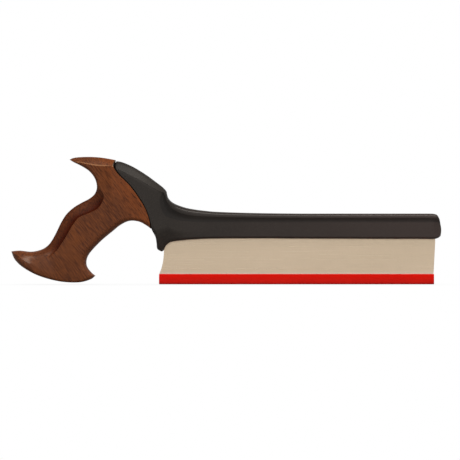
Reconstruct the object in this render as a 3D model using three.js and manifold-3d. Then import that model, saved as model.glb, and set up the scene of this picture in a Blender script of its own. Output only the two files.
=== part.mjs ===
// Dovetail saw: hardwood handle, moulded back, thin toothed plate and a slip-on tooth guard.
// Millimetres. +X runs from the handle to the toe, +Z up from the teeth, Y is the thickness.
// The origin is below the middle of the saw, on the surface that the guard stands on.
import * as THREE from 'three';
import { mergeVertices } from 'three/addons/utils/BufferGeometryUtils.js';
import Module from 'manifold-3d';

const wasm = await Module();
wasm.setup();

// ---- Driving dimensions ----
const HANDLE_HALF = 11.5; // half the thickness of the handle's board
const BACK_HALF = 5.0; // half the thickness of the back along the plate
const SHOULDER_HALF = 11.2; // half the thickness of the back at the handle
const SHOULDER_X = -64; // where the side starts to thin towards the beam
const SWELLING_LENGTH = 27; // how gently it thins
const BEAD_PROUD = 1.0; // how far the bead along the top stands out from the side
const BEAM_TOP = 61.1; // top of the straight run of the back
const BEAM_LINE = 57.6; // where its side ends and the bead begins
const COVE_START = 0.77; // share of the side's height where the cove under the bead begins

const PLATE_THICKNESS = 0.5;
const PLATE_TOP = 55.0; // edge buried in the back
const PLATE_REAR = -53.9; // rear end of the buried part
const PLATE_FRONT = 180.5; // front end of the buried part
const PLATE_STEP = 37; // where the plate's front edge leaves the slope of the toe, under the back
const SLOT_DEPTH = 40; // of the slot cut into the back from its underside
const HEEL_X = -57.2; // heel of the tooth line
const HEEL_FLARE = 0.5; // how far the plate reaches behind its teeth
const TOE_X = 178.7; // toe of the tooth line
const TOOTH_TIP_Z = 1.3;
const TOOTH_COUNT = 130;
const TOOTH_RAKE = THREE.MathUtils.degToRad(14); // how far a cutting face leans back
const TOOTH_ANGLE = THREE.MathUtils.degToRad(60); // angle between a tooth's face and its back
const ANCHOR_COUNT = 9; // holes in the plate that the moulded back flows through
const ANCHOR_RADIUS = 2.5;
const ANCHOR_Z = 50.0;

const GUARD_START = -58.1;
const GUARD_END = 179.4;
const GUARD_HEIGHT = 8.9;
const GUARD_FOOT_HALF = 2.3;
const GUARD_LIP_HALF = 1.7;
const GUARD_SLOT_HALF = 0.5;
const GUARD_FLOOR = 1.0; // thickness of the guard below the teeth

const ROD_START = new THREE.Vector3(-111.6, 0, 84.2); // bolt axis where it leaves the web
const ROD_TILT = THREE.MathUtils.degToRad(8); // the axis falls towards the toe
const ROD_RADIUS = 2.5;
const NUT_RADIUS = 4.5;
const NUT_LENGTH = 6.5;
const NUT_HEAD = 2; // solid end of the nut, in front of its blind thread
const DRIVER_SLOT = [1.4, 2.6]; // width of the nut's slot, and twice its depth
const COUNTERBORE_DEPTH = 9.5;
const INSERT_RADIUS = 3.8;
const INSERT_LENGTH = 12;
const INSERT_AT = 39; // distance along the axis from the web to the insert

const KEY_CENTRE = new THREE.Vector3(-70.6, 0, 67.3); // tenon across the joint
const KEY_SIZE = [15, 9, 10]; // along the joint's normal, across the saw, along the joint
const KEY_TILT = THREE.MathUtils.degToRad(-31);

const GAP = 0.3; // clearance of a piece in the pocket cut for it
const SLOT_GAP = 0.05; // clearance of the plate in the back's flat slot
const ROUND_SIDES = 20;

// Handle edges between its five corners. Each knot: outline x, z, then x, z of the edge of the
// flat cheek inside it, half the width left square at the outline, and the roundness in degrees
// (90 rolls smoothly onto the cheek, less leaves a crisp arris).
const HANDLE_EDGES = [
  // Joint face against the back, from its lower corner to the top.
  [[-65.0, 48.0, -66.1, 52.2, 8.0, 80], [-65.9, 54.6, -66.5, 55.6, 10.9, 80],
    [-69.4, 65.0, -69.9, 65.2, 11.0, 80], [-75.9, 75.9, -76.3, 75.6, 11.0, 80],
    [-83.5, 86.1, -83.8, 85.7, 11.0, 80], [-91.5, 93.9, -91.8, 93.4, 11.0, 80],
    [-95.6, 99.0, -96.1, 98.8, 11.0, 80], [-96.4, 102.4, -97.2, 101.0, 10.4, 60],
    [-95.7, 107.2, -98.2, 101.7, 6.5, 40]],
  // Top facet, out to the tip of the upper horn.
  [[-95.7, 107.2, -98.2, 101.7, 6.5, 40], [-101.5, 108.3, -102.0, 101.7, 6.5, 40],
    [-108.0, 109.3, -107.8, 101.8, 6.3, 40], [-116.0, 109.9, -114.8, 102.5, 6.0, 40],
    [-124.5, 109.8, -121.8, 104.0, 5.8, 45], [-131.5, 109.1, -127.2, 105.1, 5.2, 55],
    [-135.2, 107.6, -129.4, 105.0, 4.2, 70]],
  // Web for the hand, then the carved rear of the grip, down to the tip of the lower horn.
  [[-135.2, 107.6, -129.4, 105.0, 4.2, 70], [-131.3, 105.2, -127.2, 104.3, 6.0, 80],
    [-124.6, 101.9, -122.2, 102.9, 8.5, 90], [-117.8, 97.4, -115.6, 99.2, 8.6, 90],
    [-113.0, 90.9, -110.3, 91.6, 8.5, 90], [-111.5, 83.7, -108.6, 83.4, 8.0, 80],
    [-113.6, 78.0, -105.3, 76.6, 4.0, 62], [-118.3, 73.9, -106.4, 71.4, 2.6, 60],
    [-124.6, 70.6, -110.4, 65.2, 2.0, 60], [-131.6, 66.4, -117.6, 61.5, 2.0, 62],
    [-138.0, 60.5, -126.6, 57.6, 2.0, 64], [-142.7, 53.2, -132.4, 50.4, 2.0, 66],
    [-146.5, 45.3, -136.8, 42.8, 2.0, 66], [-150.6, 37.8, -141.0, 36.0, 2.0, 66],
    [-154.6, 33.0, -145.6, 29.4, 2.0, 68], [-160.2, 29.8, -150.6, 24.4, 2.0, 70],
    [-168.5, 28.2, -157.2, 20.2, 2.0, 74], [-178.5, 29.1, -164.4, 17.7, 2.0, 80],
    [-185.6, 28.5, -170.6, 18.6, 1.0, 90]],
  // Foot, round to the tip in front of the little finger.
  [[-185.6, 28.5, -170.6, 18.6, 1.0, 90], [-182.7, 21.6, -170.0, 17.2, 2.6, 90],
    [-175.7, 15.0, -167.6, 14.6, 6.0, 88], [-164.4, 8.7, -162.8, 11.2, 8.4, 84],
    [-152.0, 4.5, -151.2, 6.8, 9.3, 80], [-139.3, 2.1, -139.0, 4.3, 9.4, 80],
    [-126.2, 1.9, -127.0, 4.2, 9.3, 82], [-117.5, 4.2, -120.4, 6.4, 8.0, 88],
    [-113.2, 7.4, -119.7, 8.3, 4.0, 90]],
  // Front of the grip and the arch over the finger, back to the joint.
  [[-113.2, 7.4, -119.7, 8.3, 4.0, 90], [-116.9, 10.4, -122.2, 10.4, 5.0, 90],
    [-120.6, 15.8, -126.2, 15.6, 5.0, 90], [-120.6, 22.0, -126.0, 23.4, 5.0, 90],
    [-117.3, 28.0, -121.9, 31.3, 5.0, 90], [-108.3, 37.5, -112.2, 41.5, 5.0, 90],
    [-98.3, 45.9, -101.6, 50.2, 5.4, 90], [-91.4, 51.4, -93.8, 55.9, 6.2, 88],
    [-83.7, 54.8, -84.1, 58.6, 7.6, 84], [-75.2, 54.1, -74.2, 57.4, 8.2, 82],
    [-68.6, 50.7, -68.2, 54.2, 8.2, 80], [-65.0, 48.0, -66.1, 52.2, 8.0, 80]],
];

const straightKnot = (x, foot, top) => [x, foot, x, BEAM_LINE, x, top, BACK_HALF, 0.00, 0.0];

// Rails of the back, rear to toe. Each knot: x, z on the underside, on the line where the side ends,
// and on the top, then half the thickness at the underside, how much the knot follows the curve of
// the joint, and how much of its upper strip is a plain facet and not a bead.
const BACK_RAILS = [
  [-56.2, 28.4, -95.5, 99.3, -94.3, 106.3, 4.4, 1.00, 1.0],
  [-54.8, 28.7, -90.9, 98.0, -89.9, 105.5, 4.6, 0.85, 1.0],
  [-54.1, 29.6, -84.9, 95.1, -82.0, 102.2, 4.8, 0.65, 1.0],
  [-53.6, 30.7, -77.6, 91.3, -74.4, 97.9, 5.0, 0.45, 1.0],
  [-53.0, 31.9, -70.4, 87.6, -66.8, 92.9, 5.2, 0.30, 1.0],
  [-52.3, 33.2, -64.6, 84.0, -60.0, 87.8, 5.5, 0.20, 1.0],
  [-51.3, 34.4, -59.0, 80.9, -55.2, 84.1, 5.8, 0.12, 1.0],
  [-50.0, 35.5, -54.0, 79.3, -52.0, 80.7, 6.0, 0.06, 0.9],
  [-48.6, 36.3, -52.6, 76.2, -51.1, 77.7, 6.2, 0.02, 0.4],
  [-47.0, 36.8, -51.5, 72.8, -50.1, 74.6, 6.4, 0.00, 0.1],
  [-45.2, 37.2, -49.0, 69.0, -47.3, 71.4, 6.5, 0.00, 0.0],
  [-42.6, 37.6, -45.2, 64.8, -43.2, 69.0, 6.5, 0.00, 0.0],
  [-37.0, 38.2, -37.6, 61.2, -35.6, 66.3, 6.3, 0.00, 0.0],
  [-29.5, 38.8, -28.8, 59.6, -27.1, 64.6, 5.8, 0.00, 0.0],
  [-20.0, 39.3, -19.4, 58.9, -18.4, 63.5, 5.3, 0.00, 0.0],
  [-10.0, 39.5, -10.1, 58.5, -9.8, 62.7, 5.1, 0.00, 0.0],
  straightKnot(8, 39.7, 62.0),
  straightKnot(34, 39.7, 61.4),
  straightKnot(66, 39.5, BEAM_TOP),
  straightKnot(102, 39.4, BEAM_TOP),
  straightKnot(138, 39.3, BEAM_TOP),
  straightKnot(164, 39.3, BEAM_TOP),
  straightKnot(174, 39.2, BEAM_TOP),
  [179.0, 39.2, 179.5, 57.4, 179.0, 60.9, 5.0, 0.00, 0.0],
  [182.3, 39.8, 182.7, 56.9, 181.9, 60.0, 5.0, 0.00, 0.0],
  [184.8, 41.5, 184.6, 52.6, 183.8, 57.2, 5.0, 0.00, 0.0],
];

// Rear edge of the back below the line: the heel lug, then the curve that seats the handle.
const BACK_REAR = [[-56.2, 28.4], [-59.6, 30.6], [-60.2, 35.4], [-61.2, 41.0], [-64.2, 47.2],
  [-65.7, 54.6], [-69.2, 65.0], [-75.7, 76.0], [-83.3, 86.2], [-91.3, 94.0], [-95.5, 99.3]];
const LUG_KNOTS = 4; // spans of the rear edge that are lug and not joint
const SIDE_STEPS = 30; // rows of points up the side
const UNDERSIDE_RADIUS = 1.8;

// The toe thins from a bowed arris to its end.
const ARRIS = new THREE.Vector2(178.6, 48.5); // the arris's rearmost point
const ARRIS_BOW = 0.025;
const TOE_SLOPE = 0.3;

// ---- Shared helpers ----

function toSolid(geometry) {
  const bare = geometry.clone();
  bare.deleteAttribute('normal');
  bare.deleteAttribute('uv');
  const merged = mergeVertices(bare);
  return new wasm.Manifold(new wasm.Mesh({
    numProp: 3,
    vertProperties: new Float32Array(merged.attributes.position.array),
    triVerts: new Uint32Array(merged.index.array),
  }));
}

function toGeometry(solid) {
  const { vertProperties, triVerts } = solid.getMesh();
  const geometry = new THREE.BufferGeometry();
  geometry.setAttribute('position', new THREE.BufferAttribute(vertProperties, 3));
  geometry.setIndex(new THREE.BufferAttribute(triVerts, 1));
  geometry.computeVertexNormals();
  return geometry;
}

// A skin through equal closed loops of points, closed at both ends by the given triangles.
function loft(loops, startCap, endCap) {
  const count = loops[0].length;
  const faces = startCap.map(([a, b, c]) => [c, b, a]);
  for (let row = 0; row < loops.length - 1; row += 1) {
    for (let i = 0; i < count; i += 1) {
      const a = row * count + i;
      const b = row * count + ((i + 1) % count);
      faces.push([a, b, b + count], [a, b + count, a + count]);
    }
  }
  const last = (loops.length - 1) * count;
  endCap.forEach((face) => faces.push(face.map((i) => i + last)));
  const geometry = new THREE.BufferGeometry();
  const positions = loops.flat().flatMap((point) => point.toArray());
  geometry.setAttribute('position', new THREE.Float32BufferAttribute(positions, 3));
  geometry.setIndex(faces.flat());
  return geometry;
}

// A spline through two columns of a table of knots.
function railSpline(rows, column) {
  return new THREE.SplineCurve(rows.map((row) => new THREE.Vector2(row[column], row[column + 1])));
}

function placed(geometry, position, tilt) {
  return geometry.applyMatrix4(new THREE.Matrix4().makeRotationY(tilt).setPosition(position));
}

// A cylinder or turned profile whose own axis is made to run along the bolt, from the web inwards.
function alongRod(geometry, distance) {
  geometry.rotateZ(-Math.PI / 2).translate(distance, 0, 0);
  return placed(geometry, ROD_START, ROD_TILT);
}

function rodCylinder(radius, from, to) {
  const cylinder = new THREE.CylinderGeometry(radius, radius, to - from, ROUND_SIDES);
  return alongRod(cylinder, (from + to) / 2);
}

function keyBlock(clearance) {
  const [depth, width, height] = KEY_SIZE.map((size) => size + 2 * clearance);
  return placed(new THREE.BoxGeometry(depth, width, height), KEY_CENTRE, KEY_TILT);
}

// ---- Handle ----

function handleSamples(samplesPerSpan) {
  return HANDLE_EDGES.flatMap((rows) => {
    const outline = railSpline(rows, 0);
    const cheek = railSpline(rows, 2);
    const section = railSpline(rows, 4);
    const count = (rows.length - 1) * samplesPerSpan;
    return Array.from({ length: count }, (_, i) => {
      const t = i / count;
      const { x: land, y: roundness } = section.getPoint(t);
      const arc = THREE.MathUtils.degToRad(Math.min(roundness, 90));
      return { edge: outline.getPoint(t), cheek: cheek.getPoint(t), land, arc };
    });
  });
}

// One ring around the handle: step 0 is the outline, step 1 the edge of the flat cheek.
function handleRing(samples, side, step) {
  return samples.map(({ edge, cheek, land, arc }) => {
    const across = (1 - Math.cos(step * arc)) / (1 - Math.cos(arc));
    const up = Math.sin(step * arc) / Math.sin(arc);
    const x = THREE.MathUtils.lerp(edge.x, cheek.x, across);
    const z = THREE.MathUtils.lerp(edge.y, cheek.y, across);
    return new THREE.Vector3(x, side * THREE.MathUtils.lerp(land, HANDLE_HALF, up), z);
  });
}

function makeHandle() {
  const samples = handleSamples(2);
  const steps = [0, 0.3, 0.6, 0.82, 1];
  const back = steps.map((step) => handleRing(samples, 1, step)).reverse();
  const front = steps.map((step) => handleRing(samples, -1, step));
  const cap = THREE.ShapeUtils.triangulateShape(samples.map(({ cheek }) => cheek), []);
  const board = toSolid(loft([...back, ...front], cap, cap));
  const bore = toSolid(rodCylinder(ROD_RADIUS + 2 * GAP, 0, INSERT_AT + INSERT_LENGTH));
  const counterbore = toSolid(rodCylinder(NUT_RADIUS + 2 * GAP, -8, COUNTERBORE_DEPTH));
  return board.subtract(bore).subtract(counterbore).subtract(toSolid(keyBlock(GAP)));
}

// ---- Moulded back ----

// The side swells smoothly from the beam to the shoulder.
function swellingHalf(x) {
  const past = Math.max(0, x - SHOULDER_X) / SWELLING_LENGTH;
  return BACK_HALF + (SHOULDER_HALF - BACK_HALF) * Math.exp(-(past ** 2));
}

// Half thickness of the side at x, from the underside (0) to the line (1).
function sideHalf(x, v, footHalf, lineHalf) {
  const flat = THREE.MathUtils.lerp(footHalf, swellingHalf(x), THREE.MathUtils.smoothstep(v, 0, 0.35));
  return THREE.MathUtils.lerp(flat, lineHalf, THREE.MathUtils.smoothstep(v, COVE_START, 1));
}

// Half thickness of the strip above the line, from the line (0) to the top (1).
function stripHalf(v, lineHalf, facet) {
  const bead = lineHalf * Math.sqrt(1 - v ** 3);
  const plain = lineHalf * (1 - 0.52 * v) * Math.sqrt(1 - v ** 12);
  return THREE.MathUtils.lerp(bead, plain, facet);
}

function thinnedToe(half, point) {
  const past = point.x - ARRIS.x - ARRIS_BOW * (point.y - ARRIS.y) ** 2;
  return half - TOE_SLOPE * Math.max(0, past);
}

// The section of the back at a position k along its rails, as a closed loop of points.
function backSection(k, rails, rear) {
  const t = k / (BACK_RAILS.length - 1);
  const [foot, line, top] = rails.curves.map((curve) => curve.getPoint(t));
  const { x: footHalf } = rails.feet.getPoint(t);
  const { x: follow, y: facet } = rails.shares.getPoint(t);
  const lineHalf = Math.min(SHOULDER_HALF, swellingHalf(line.x) + BEAD_PROUD);
  const chord = new THREE.LineCurve(rear.getPoint(0), rear.getPoint(1));
  const noseBulge = Math.max(0, k - (BACK_RAILS.length - 3)) * 0.4;
  const lugShare = LUG_KNOTS / (BACK_REAR.length - 1);
  const edgeRadius = Math.min(UNDERSIDE_RADIUS, footHalf / 2);
  const side = [];
  const push = (point, half) => {
    side.push(new THREE.Vector3(point.x, Math.max(thinnedToe(half, point), 0), point.y));
  };
  push(foot, 0);
  for (let step = 0; step <= SIDE_STEPS; step += 1) {
    const v = step / SIDE_STEPS;
    const point = foot.clone().lerp(line, v);
    point.add(rear.getPoint(v).sub(chord.getPoint(v)).multiplyScalar(follow));
    point.x += noseBulge * Math.sin(Math.PI * v);
    const rounded = edgeRadius * Math.max(0, 1 - v / 0.08) ** 2;
    const lug = THREE.MathUtils.smoothstep(lugShare - v, -0.04, 0.1) * Math.max(0, 1 - k / 2.5);
    push(point, (sideHalf(point.x, v, footHalf, lineHalf) - rounded) * (1 - 0.55 * lug));
  }
  for (const v of [0.1, 0.22, 0.34, 0.5, 0.65, 0.8, 0.91, 0.98]) {
    const point = line.clone().lerp(top, v);
    point.x -= Math.max(0, 1 - k / 0.6) * 1.2 * Math.sin(Math.PI * v);
    push(point, stripHalf(v, lineHalf, THREE.MathUtils.clamp(facet, 0, 1)));
  }
  push(top, 0);
  const mirrored = side.slice(1, -1).reverse().map(({ x, y, z }) => new THREE.Vector3(x, -y, z));
  return [...side, ...mirrored];
}

// Triangles that close a loop which is symmetric about its first point.
function symmetricCap(count) {
  const half = count / 2;
  const faces = [[0, 1, count - 1]];
  for (let i = 1; i < half - 1; i += 1) {
    faces.push([i, i + 1, count - i - 1], [i, count - i - 1, count - i]);
  }
  faces.push([half - 1, half, half + 1]);
  return faces;
}

function anchorPositions() {
  const spacing = (TOE_X - HEEL_X - 26) / (ANCHOR_COUNT - 1);
  return Array.from({ length: ANCHOR_COUNT }, (_, i) => HEEL_X + 18 + i * spacing);
}

function makeBack() {
  const rails = {
    curves: [0, 2, 4].map((column) => railSpline(BACK_RAILS, column)),
    feet: railSpline(BACK_RAILS, 6),
    shares: railSpline(BACK_RAILS, 7),
  };
  const rear = railSpline(BACK_REAR, 0);
  const stations = [0, 0.12, 0.35, 0.65];
  for (let k = 1; k < BACK_RAILS.length; k += 0.5) {
    stations.push(k);
  }
  const sections = stations.map((k) => backSection(k, rails, rear));
  const cap = symmetricCap(sections[0].length);
  let back = toSolid(loft(sections, cap, cap));
  back = back.add(toSolid(keyBlock(0)));
  back = back.subtract(toSolid(rodCylinder(INSERT_RADIUS + GAP, 0, INSERT_AT + INSERT_LENGTH + GAP)));
  const slotWidth = PLATE_THICKNESS + 2 * SLOT_GAP;
  const slot = new THREE.BoxGeometry(PLATE_FRONT - PLATE_REAR + 2 * GAP, slotWidth, SLOT_DEPTH);
  slot.translate((PLATE_FRONT + PLATE_REAR) / 2, 0, PLATE_TOP + GAP - SLOT_DEPTH / 2);
  back = back.subtract(toSolid(slot));
  for (const x of anchorPositions()) {
    const post = new THREE.CylinderGeometry(ANCHOR_RADIUS - GAP, ANCHOR_RADIUS - GAP, 2, 12);
    back = back.add(toSolid(post.translate(x, 0, ANCHOR_Z)));
  }
  return back;
}

// ---- Saw plate ----

function plateShape() {
  const shape = new THREE.Shape();
  const pitch = (TOE_X - HEEL_X) / TOOTH_COUNT;
  const leading = Math.tan(TOOTH_RAKE);
  const trailing = Math.tan(TOOTH_ANGLE - TOOTH_RAKE);
  const depth = pitch / (leading + trailing);
  const gulletZ = TOOTH_TIP_Z + depth;
  shape.moveTo(HEEL_X, gulletZ);
  for (let i = 0; i < TOOTH_COUNT; i += 1) {
    const gulletX = HEEL_X + i * pitch;
    shape.lineTo(gulletX + depth * trailing, TOOTH_TIP_Z);
    shape.lineTo(gulletX + pitch, gulletZ);
  }
  shape.lineTo(PLATE_FRONT, PLATE_STEP);
  shape.lineTo(PLATE_FRONT, PLATE_TOP - 2);
  shape.lineTo(PLATE_FRONT - 2, PLATE_TOP);
  shape.lineTo(PLATE_REAR + 4, PLATE_TOP);
  shape.lineTo(PLATE_REAR, PLATE_TOP - 6);
  shape.lineTo(PLATE_REAR, 28);
  shape.quadraticCurveTo(PLATE_REAR - 0.4, 16.5, HEEL_X - HEEL_FLARE, 9.5);
  shape.lineTo(HEEL_X - HEEL_FLARE, 6);
  for (const x of anchorPositions()) {
    shape.holes.push(new THREE.Path().absarc(x, ANCHOR_Z, ANCHOR_RADIUS, 0, 2 * Math.PI, true));
  }
  return shape;
}

function makePlate() {
  const options = { depth: PLATE_THICKNESS, bevelEnabled: false, curveSegments: 8 };
  const plate = new THREE.ExtrudeGeometry(plateShape(), options);
  return plate.rotateX(Math.PI / 2).translate(0, PLATE_THICKNESS / 2, 0);
}

// ---- Tooth guard ----

function makeGuard() {
  const shape = new THREE.Shape();
  shape.moveTo(-GUARD_FOOT_HALF + 0.7, 0);
  shape.lineTo(GUARD_FOOT_HALF - 0.7, 0);
  shape.quadraticCurveTo(GUARD_FOOT_HALF, 0, GUARD_FOOT_HALF, 0.8);
  shape.lineTo(GUARD_LIP_HALF, GUARD_HEIGHT - 0.4);
  shape.quadraticCurveTo(GUARD_LIP_HALF, GUARD_HEIGHT, GUARD_LIP_HALF - 0.5, GUARD_HEIGHT);
  shape.lineTo(GUARD_SLOT_HALF, GUARD_HEIGHT - 0.4);
  shape.lineTo(GUARD_SLOT_HALF, GUARD_FLOOR);
  shape.lineTo(-GUARD_SLOT_HALF, GUARD_FLOOR);
  shape.lineTo(-GUARD_SLOT_HALF, GUARD_HEIGHT - 0.4);
  shape.lineTo(-GUARD_LIP_HALF + 0.5, GUARD_HEIGHT);
  shape.quadraticCurveTo(-GUARD_LIP_HALF, GUARD_HEIGHT, -GUARD_LIP_HALF, GUARD_HEIGHT - 0.4);
  shape.lineTo(-GUARD_FOOT_HALF, 0.8);
  shape.quadraticCurveTo(-GUARD_FOOT_HALF, 0, -GUARD_FOOT_HALF + 0.7, 0);
  const options = { depth: GUARD_END - GUARD_START, bevelEnabled: false, curveSegments: 3 };
  const guard = new THREE.ExtrudeGeometry(shape, options);
  return guard.rotateX(Math.PI / 2).rotateZ(Math.PI / 2).translate(GUARD_START, 0, 0);
}

// ---- Bolt, nut, washer and insert ----

const turned = (profile) => {
  const points = profile.map(([radius, along]) => new THREE.Vector2(radius, along));
  return new THREE.LatheGeometry(points, ROUND_SIDES);
};

function makeBolt() {
  const from = COUNTERBORE_DEPTH - 5;
  const to = INSERT_AT + INSERT_LENGTH - 2;
  return rodCylinder(ROD_RADIUS, from, to);
}

function makeWasher() {
  const inner = ROD_RADIUS + GAP;
  const outer = NUT_RADIUS + GAP;
  const ring = turned([[inner, 0], [outer, 0], [outer, 1], [inner, 1], [inner, 0]]);
  return alongRod(ring, COUNTERBORE_DEPTH - GAP - 1);
}

// A slotted round nut with a blind thread, its head towards the web.
function makeNut() {
  const bore = ROD_RADIUS + GAP;
  const chamfer = 0.5;
  const body = turned([[0, 0], [NUT_RADIUS - chamfer, 0], [NUT_RADIUS, chamfer],
    [NUT_RADIUS, NUT_LENGTH], [bore, NUT_LENGTH], [bore, NUT_HEAD], [0, NUT_HEAD]]);
  const [slotWidth, slotDepth] = DRIVER_SLOT;
  const slot = new THREE.BoxGeometry(slotDepth, 2 * NUT_RADIUS + 2, slotWidth);
  const nut = toSolid(alongRod(body, 0)).subtract(toSolid(placed(slot, ROD_START, ROD_TILT)));
  const shift = new THREE.Vector3(Math.cos(ROD_TILT), 0, -Math.sin(ROD_TILT));
  shift.multiplyScalar(COUNTERBORE_DEPTH - 2 * GAP - 1 - NUT_LENGTH);
  return toGeometry(nut).translate(shift.x, shift.y, shift.z);
}

// A moulded-in threaded insert with a waist between two knurled bands.
function makeInsert() {
  const bore = ROD_RADIUS + GAP;
  const waist = INSERT_RADIUS - 0.5;
  const band = INSERT_LENGTH * 0.4;
  return alongRod(turned([[0, INSERT_LENGTH], [0, INSERT_LENGTH - 1.2], [bore, INSERT_LENGTH - 1.2],
    [bore, 0], [INSERT_RADIUS, 0], [INSERT_RADIUS, band], [waist, band + 0.5],
    [waist, INSERT_LENGTH - band - 0.5], [INSERT_RADIUS, INSERT_LENGTH - band],
    [INSERT_RADIUS, INSERT_LENGTH], [0, INSERT_LENGTH]]), INSERT_AT);
}

// ---- Assembly ----

const saw = new THREE.Group();

function addPiece(name, geometry, color, roughness, metalness) {
  const material = new THREE.MeshStandardMaterial({ color, roughness, metalness });
  const mesh = new THREE.Mesh(geometry, material);
  mesh.name = name;
  saw.add(mesh);
}

addPiece('handle', toGeometry(makeHandle()), 0x6a3b27, 0.42, 0);
addPiece('spine', toGeometry(makeBack()), 0x322e2b, 0.55, 0);
addPiece('saw_plate', makePlate(), 0xc2ae95, 0.38, 1);
addPiece('tooth_guard', makeGuard(), 0xbd1d16, 0.35, 0);
addPiece('handle_bolt', makeBolt(), 0x8c8a86, 0.35, 1);
addPiece('nut_washer', makeWasher(), 0x9a9894, 0.35, 1);
addPiece('barrel_nut', makeNut(), 0xb08d4a, 0.35, 1);
addPiece('bolt_insert', makeInsert(), 0xb08d4a, 0.5, 1);

export default saw;
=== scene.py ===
import bpy
import math
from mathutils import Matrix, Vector


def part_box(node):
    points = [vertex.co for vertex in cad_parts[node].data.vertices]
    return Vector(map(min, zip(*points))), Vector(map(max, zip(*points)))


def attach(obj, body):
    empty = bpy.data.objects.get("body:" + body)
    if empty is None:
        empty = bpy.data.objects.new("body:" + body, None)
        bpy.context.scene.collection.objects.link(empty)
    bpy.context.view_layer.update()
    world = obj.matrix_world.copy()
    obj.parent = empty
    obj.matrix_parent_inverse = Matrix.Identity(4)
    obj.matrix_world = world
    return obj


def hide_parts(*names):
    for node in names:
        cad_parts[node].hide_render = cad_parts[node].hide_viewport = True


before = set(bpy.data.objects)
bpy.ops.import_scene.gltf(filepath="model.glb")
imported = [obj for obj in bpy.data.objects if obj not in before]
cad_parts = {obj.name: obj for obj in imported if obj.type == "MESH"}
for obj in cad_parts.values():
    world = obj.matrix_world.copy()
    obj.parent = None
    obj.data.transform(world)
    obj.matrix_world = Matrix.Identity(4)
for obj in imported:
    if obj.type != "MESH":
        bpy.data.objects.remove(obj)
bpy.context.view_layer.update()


# Handle. One piece of dark red-brown hardwood, sawn from a board and shaped by hand: flat cheeks, a
# faceted upper horn, a grip hollowed out at the rear and a rounded lower horn. It is oiled to a satin
# finish and pulled onto the back by one bolt, whose nut sits in a counterbore in the web.
MM = 0.001
cheek_half = 11.5

# Each stretch of edge runs between two corners. A knot holds the outline's x and z, then x and z of
# the edge of the flat cheek, half the square land at the outline, how round the edge is from 0 (a
# chamfer) to 1, and how much it is hollowed out from a crisp arris at the cheek.
joint_edge = [(-65.0, 48.0, -66.1, 52.2, 8.0, 0.9, 0), (-65.9, 54.6, -66.5, 55.6, 10.6, 0.9, 0),
    (-69.4, 65.0, -69.9, 65.2, 10.7, 0.9, 0), (-75.9, 75.9, -76.3, 75.6, 10.7, 0.9, 0),
    (-83.5, 86.1, -83.9, 85.7, 10.7, 0.9, 0), (-91.5, 93.9, -91.9, 93.4, 10.7, 0.9, 0),
    (-95.6, 99.0, -96.1, 98.8, 10.7, 0.9, 0), (-96.4, 102.4, -97.2, 101.0, 10.2, 0.4, 0),
    (-95.7, 107.2, -98.2, 101.7, 6.5, 0.2, 0)]
top_edge = [(-95.7, 107.2, -98.2, 101.7, 6.5, 0.2, 0), (-101.5, 108.3, -102.0, 101.7, 6.5, 0.2, 0),
    (-108.0, 109.3, -107.8, 101.8, 6.3, 0.2, 0), (-116.0, 109.87, -114.8, 102.5, 6.0, 0.25, 0),
    (-124.5, 109.8, -121.8, 104.0, 5.6, 0.35, 0), (-131.5, 109.1, -127.2, 105.1, 4.2, 0.6, 0),
    (-135.2, 107.6, -129.4, 105.0, 2.4, 0.9, 0)]
rear_edge = [(-135.2, 107.6, -129.4, 105.0, 2.4, 0.9, 0), (-131.3, 105.2, -127.2, 104.3, 5.0, 0.9, 0),
    (-124.6, 101.9, -122.2, 102.9, 8.0, 1, 0), (-117.8, 97.4, -115.6, 99.2, 8.6, 1, 0),
    (-113.0, 90.9, -110.3, 91.6, 8.5, 1, 0), (-111.5, 83.7, -108.6, 83.4, 7.0, 0.8, 0),
    (-113.6, 78.0, -105.3, 76.6, 3.0, 0.6, 0.5), (-118.3, 73.9, -106.4, 71.4, 2.0, 0.7, 0.9),
    (-124.6, 70.6, -110.4, 65.2, 1.6, 0.85, 1), (-131.6, 66.4, -117.6, 61.5, 1.6, 0.9, 1),
    (-138.0, 60.5, -126.6, 57.6, 1.6, 0.9, 1), (-142.7, 53.2, -132.4, 50.4, 1.6, 0.9, 1),
    (-146.5, 45.3, -136.8, 42.8, 1.6, 0.9, 1), (-150.6, 37.8, -141.0, 36.0, 1.6, 0.9, 1),
    (-154.6, 33.0, -145.6, 29.4, 1.6, 0.95, 0.8), (-160.2, 29.8, -150.6, 24.4, 1.6, 0.85, 0.25),
    (-168.5, 28.2, -157.2, 20.2, 1.6, 0.6, 0), (-178.5, 29.1, -164.4, 17.7, 1.6, 0.5, 0),
    (-185.6, 28.5, -170.6, 18.6, 0.8, 0.6, 0)]
foot_edge = [(-185.6, 28.5, -170.6, 18.6, 0.8, 0.6, 0), (-182.7, 21.6, -170.0, 17.2, 2.0, 0.8, 0),
    (-175.7, 15.0, -167.6, 14.6, 5.0, 1, 0), (-164.4, 8.7, -162.8, 11.2, 8.2, 1, 0),
    (-152.0, 4.5, -151.2, 6.8, 9.2, 0.9, 0), (-139.3, 2.1, -139.0, 4.3, 9.3, 0.9, 0),
    (-126.2, 1.9, -127.0, 4.2, 9.2, 0.9, 0), (-117.5, 4.2, -120.4, 6.4, 7.4, 1, 0),
    (-113.2, 7.4, -119.7, 8.3, 3.0, 1, 0)]
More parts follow.
